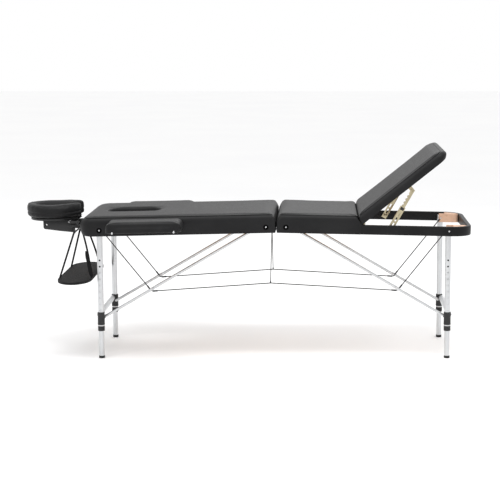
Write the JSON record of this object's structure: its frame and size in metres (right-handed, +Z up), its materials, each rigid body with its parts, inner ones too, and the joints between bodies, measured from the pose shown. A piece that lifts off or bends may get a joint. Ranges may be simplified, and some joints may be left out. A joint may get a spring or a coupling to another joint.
{
  "type": "portable massage table",
  "caption": "Folding massage table on aluminium legs, with lifting backrest, face cradle, armrests and arm sling.",
  "frame": {"origin": "on the floor, below the middle of the object's overall length and width", "axes": "+X from the face cradle towards the foot end, +Y to the far side, +Z up"},
  "size_m": [2.16, 0.906, 1.0025],
  "materials": {
    "vinyl": "satin grained vinyl",
    "rail_vinyl": "satin vinyl wrap",
    "plywood": "raw",
    "hardwood": "raw",
    "steel": "zinc plated",
    "zinc_yellow": "yellow zinc plated",
    "black_plastic": "moulded",
    "cable": "coated",
    "sling_fabric": "woven",
    "aluminium": "satin"
  },
  "bodies": {
    "head_half": {"main_cushion": "vinyl", "main_deck": "plywood", "head_rail_near": "rail_vinyl", "head_rail_far": "rail_vinyl", "head_end_rail": "rail_vinyl", "head_hinge_rail": "plywood", "head_hinge_leaf": "steel", "head_cable_near": "cable", "head_cable_far": "cable", "centre_cable": "cable"},
    "foot_half": {"mid_cushion": "vinyl", "mid_deck": "plywood", "foot_rail_near": "rail_vinyl", "foot_rail_far": "rail_vinyl", "foot_end_bow": "rail_vinyl", "foot_hinge_rail": "plywood", "foot_hinge_leaf": "steel", "corner_block_near": "hardwood", "corner_block_far": "hardwood", "foot_cable_near": "cable", "foot_cable_far": "cable"},
    "backrest": {"backrest_cushion": "vinyl", "backrest_board": "plywood"},
    "strut_channels": {"strut_channel_near": "zinc_yellow", "strut_channel_far": "zinc_yellow"},
    "strut_bars": {"strut_bar_near": "zinc_yellow", "strut_bar_far": "zinc_yellow"},
    "armrest_near": {"armrest_near": "vinyl"},
    "armrest_far": {"armrest_far": "vinyl"},
    "cradle": {"cradle_base": "black_plastic"},
    "cradle_head": {"cradle_platform": "black_plastic", "cradle_cushion": "vinyl"},
    "cradle_lever": {"cradle_lever": "black_plastic"},
    "arm_sling": {"arm_sling": "sling_fabric"},
    "head_legs": {"head_leg_near": "aluminium", "head_leg_far": "aluminium", "head_bracket_near": "black_plastic", "head_bracket_far": "black_plastic", "head_crossbar": "aluminium"},
    "head_upper_braces": {"head_upper_brace_near": "aluminium", "head_upper_brace_far": "aluminium"},
    "head_lower_braces": {"head_lower_brace_near": "aluminium", "head_lower_brace_far": "aluminium"},
    "head_inner_leg_near": {"head_inner_leg_near": "aluminium"},
    "head_button_near": {"head_button_near": "steel"},
    "head_inner_leg_far": {"head_inner_leg_far": "aluminium"},
    "head_button_far": {"head_button_far": "steel"},
    "foot_legs": {"foot_leg_near": "aluminium", "foot_leg_far": "aluminium", "foot_bracket_near": "black_plastic", "foot_bracket_far": "black_plastic", "foot_crossbar": "aluminium"},
    "foot_upper_braces": {"foot_upper_brace_near": "aluminium", "foot_upper_brace_far": "aluminium"},
    "foot_lower_braces": {"foot_lower_brace_near": "aluminium", "foot_lower_brace_far": "aluminium"},
    "foot_inner_leg_near": {"foot_inner_leg_near": "aluminium"},
    "foot_button_near": {"foot_button_near": "steel"},
    "foot_inner_leg_far": {"foot_inner_leg_far": "aluminium"},
    "foot_button_far": {"foot_button_far": "steel"}
  },
  "joints": [
    {"name": "table_fold", "type": "hinge", "parent": "head_half", "child": "foot_half", "pos_m": [0.15421, 0, 0.61], "axis": [0, 1, 0], "range_deg": [0, 124], "deforming": ["head_cable_near", "head_cable_far", "foot_cable_near", "foot_cable_far", "centre_cable"]},
    {"name": "head_leg_fold", "type": "hinge", "parent": "head_half", "child": "head_legs", "pos_m": [-0.68413, 0, 0.61745], "axis": [0, -1, 0], "range_deg": [0, 91.5]},
    {"name": "head_upper_brace_fold", "type": "hinge", "parent": "head_half", "child": "head_upper_braces", "pos_m": [0.09747, 0, 0.64482], "axis": [0, 1, 0], "range_deg": [0, 29.37]},
    {"name": "head_lower_brace_fold", "type": "hinge", "parent": "head_legs", "child": "head_lower_braces", "pos_m": [-0.67313, 0, 0.195], "axis": [0, -1, 0], "range_deg": [0, 60.03]},
    {"name": "foot_leg_fold", "type": "hinge", "parent": "foot_half", "child": "foot_legs", "pos_m": [0.96856, 0, 0.61795], "axis": [0, 1, 0], "range_deg": [0, 91.5]},
    {"name": "foot_upper_brace_fold", "type": "hinge", "parent": "foot_half", "child": "foot_upper_braces", "pos_m": [0.19495, 0, 0.64515], "axis": [0, -1, 0], "range_deg": [0, 29.37]},
    {"name": "foot_lower_brace_fold", "type": "hinge", "parent": "foot_legs", "child": "foot_lower_braces", "pos_m": [0.95756, 0, 0.2], "axis": [0, 1, 0], "range_deg": [0, 60.03]},
    {"name": "backrest_tilt", "type": "hinge", "parent": "foot_half", "child": "backrest", "pos_m": [0.55896, 0, 0.64153], "axis": [0, -1, 0], "range_deg": [-39.7, 10.3]},
    {"name": "strut_swing", "type": "hinge", "parent": "foot_half", "child": "strut_channels", "pos_m": [0.6902, 0, 0.62278], "axis": [0, -1, 0], "range_deg": [-58, 15.5]},
    {"name": "strut_slide", "type": "slide", "parent": "strut_channels", "child": "strut_bars", "axis": [0.4967, 0, 0.8679], "range_m": [-0.0605, 0.0165]},
    {"name": "head_leg_near_extend", "type": "slide", "parent": "head_legs", "child": "head_inner_leg_near", "axis": [0, 0, -1], "range_m": [-0.06, 0.15]},
    {"name": "head_button_near_travel", "type": "slide", "parent": "head_inner_leg_near", "child": "head_button_near", "axis": [0, -1, 0], "range_m": [0, 0.003], "stiffness_N_per_m": 200},
    {"name": "head_leg_far_extend", "type": "slide", "parent": "head_legs", "child": "head_inner_leg_far", "axis": [0, 0, -1], "range_m": [-0.06, 0.15]},
    {"name": "head_button_far_travel", "type": "slide", "parent": "head_inner_leg_far", "child": "head_button_far", "axis": [0, 1, 0], "range_m": [0, 0.003], "stiffness_N_per_m": 200},
    {"name": "foot_leg_near_extend", "type": "slide", "parent": "foot_legs", "child": "foot_inner_leg_near", "axis": [0, 0, -1], "range_m": [-0.06, 0.15]},
    {"name": "foot_button_near_travel", "type": "slide", "parent": "foot_inner_leg_near", "child": "foot_button_near", "axis": [0, -1, 0], "range_m": [0, 0.003], "stiffness_N_per_m": 200},
    {"name": "foot_leg_far_extend", "type": "slide", "parent": "foot_legs", "child": "foot_inner_leg_far", "axis": [0, 0, -1], "range_m": [-0.06, 0.15]},
    {"name": "foot_button_far_travel", "type": "slide", "parent": "foot_inner_leg_far", "child": "foot_button_far", "axis": [0, 1, 0], "range_m": [0, 0.003], "stiffness_N_per_m": 200},
    {"name": "armrest_near_pull", "type": "slide", "parent": "head_half", "child": "armrest_near", "axis": [0, -1, 0], "range_m": [0, 0.045]},
    {"name": "armrest_far_pull", "type": "slide", "parent": "head_half", "child": "armrest_far", "axis": [0, 1, 0], "range_m": [0, 0.045]},
    {"name": "cradle_pull", "type": "slide", "parent": "head_half", "child": "cradle", "axis": [-0.9998, 0, -0.0209], "range_m": [0, 0.06]},
    {"name": "cradle_tilt", "type": "hinge", "parent": "cradle", "child": "cradle_head", "pos_m": [-0.84962, 0, 0.63898], "axis": [0, 1, 0], "range_deg": [0, 25]},
    {"name": "cradle_lever_turn", "type": "hinge", "parent": "cradle", "child": "cradle_lever", "pos_m": [-0.84962, 0, 0.63898], "axis": [0, 1, 0], "range_deg": [0, 80]},
    {"name": "sling_swing", "type": "hinge", "parent": "cradle", "child": "arm_sling", "pos_m": [-0.82849, 0, 0.58541], "axis": [0, 1, 0], "range_deg": [-10, 30]}
  ],
  "couplings": [
    {"joint": "head_leg_fold", "follows": "table_fold", "ratio": 0.73548},
    {"joint": "head_upper_brace_fold", "follows": "table_fold", "ratio": 0.23446},
    {"joint": "head_lower_brace_fold", "follows": "table_fold", "ratio": 0.48167},
    {"joint": "foot_leg_fold", "follows": "table_fold", "ratio": 0.73548},
    {"joint": "foot_upper_brace_fold", "follows": "table_fold", "ratio": 0.23446},
    {"joint": "foot_lower_brace_fold", "follows": "table_fold", "ratio": 0.48167},
    {"joint": "strut_swing", "follows": "backrest_tilt", "ratio": 1.45},
    {"joint": "strut_slide", "follows": "backrest_tilt", "m_per_rad": 0.085944}
  ]
}
